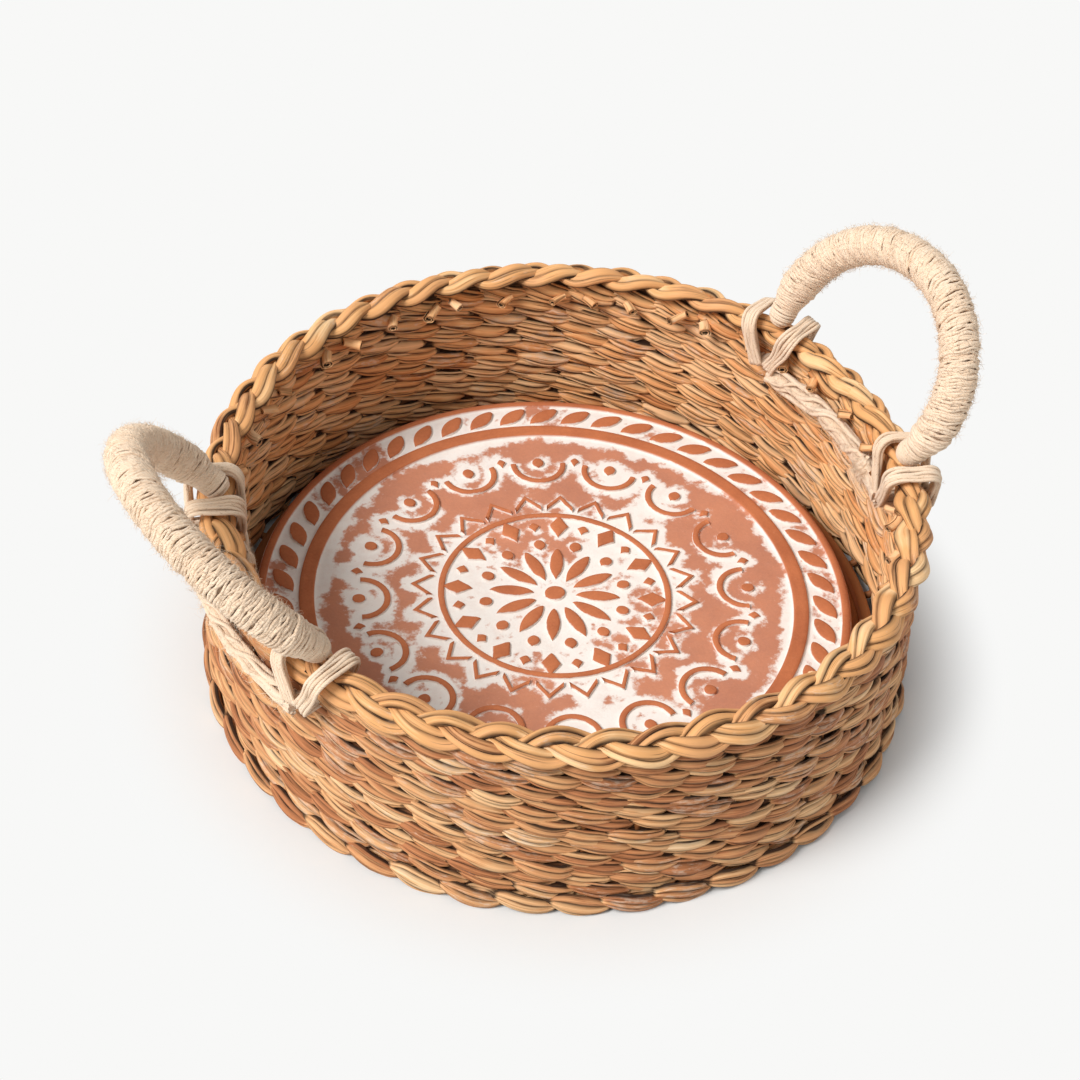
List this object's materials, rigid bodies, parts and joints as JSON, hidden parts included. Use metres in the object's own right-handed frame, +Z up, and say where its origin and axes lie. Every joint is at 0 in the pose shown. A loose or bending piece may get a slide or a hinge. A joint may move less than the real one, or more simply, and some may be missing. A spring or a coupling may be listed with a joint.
{
  "type": "bread warmer basket",
  "caption": "Round twined grass basket with a plaited rim and two leaning, yarn-wound rope handles, holding a loose carved clay warming tile.",
  "frame": {"origin": "centre of the underside, on the surface that the basket stands on", "axes": "+Z up, +X towards the right-hand handle and -X towards the left-hand one, +Y towards the back"},
  "size_m": [0.2948, 0.2572, 0.1426],
  "materials": {
    "seagrass": "dry twisted grass in uneven straw browns, matte",
    "inner_grass": "the same grass in deeper brown, matte",
    "rim_grass": "smooth golden grass blades, satin",
    "rope": "plain twisted rope, hidden by its yarn except at the feet",
    "jute": "pale jute yarn with loose fibres, matte",
    "clay": "unglazed terracotta, its carved ground washed white"
  },
  "bodies": {
    "basket": {"base_cross": "inner_grass", "base_weave_under": "seagrass", "base_weave_over": "inner_grass", "stakes": "seagrass", "foot_row": "seagrass", "inner_weaver_01": "inner_grass", "inner_weaver_02": "inner_grass", "inner_weaver_03": "inner_grass", "inner_weaver_04": "inner_grass", "inner_weaver_05": "inner_grass", "inner_weaver_06": "inner_grass", "inner_weaver_07": "inner_grass", "inner_weaver_08": "inner_grass", "inner_weaver_09": "inner_grass", "inner_weaver_10": "inner_grass", "inner_weaver_11": "inner_grass", "inner_weaver_12": "inner_grass", "outer_weaver_01": "seagrass", "outer_weaver_02": "seagrass", "outer_weaver_03": "seagrass", "outer_weaver_04": "seagrass", "outer_weaver_05": "seagrass", "outer_weaver_06": "seagrass", "outer_weaver_07": "seagrass", "outer_weaver_08": "seagrass", "outer_weaver_09": "seagrass", "outer_weaver_10": "seagrass", "outer_weaver_11": "seagrass", "outer_weaver_12": "seagrass", "rim_strand_1": "rim_grass", "rim_strand_2": "rim_grass", "rim_strand_3": "rim_grass", "stake_ends": "rim_grass", "right_lashing_back": "jute", "right_lashing_front": "jute", "right_inner_run": "jute", "right_outer_run": "jute", "right_knot": "jute", "left_lashing_back": "jute", "left_lashing_front": "jute", "left_inner_run": "jute", "left_outer_run": "jute", "left_knot": "jute"},
    "tile": {"warming_tile": "clay"},
    "handle_right": {"handle_right_core": "rope", "handle_right_winding": "jute"},
    "handle_left": {"handle_left_core": "rope", "handle_left_winding": "jute"}
  },
  "joints": [
    {"name": "tile_lift", "type": "slide", "parent": "basket", "child": "tile", "axis": [0, 0, 1], "range_m": [0, 0.06]},
    {"name": "right_swing", "type": "hinge", "parent": "basket", "child": "handle_right", "pos_m": [0.11243, 0, 0.0837], "axis": [0, 1, 0], "range_deg": [-55, 35]},
    {"name": "left_swing", "type": "hinge", "parent": "basket", "child": "handle_left", "pos_m": [-0.11243, 0, 0.0837], "axis": [0, -1, 0], "range_deg": [-80, 15]}
  ]
}
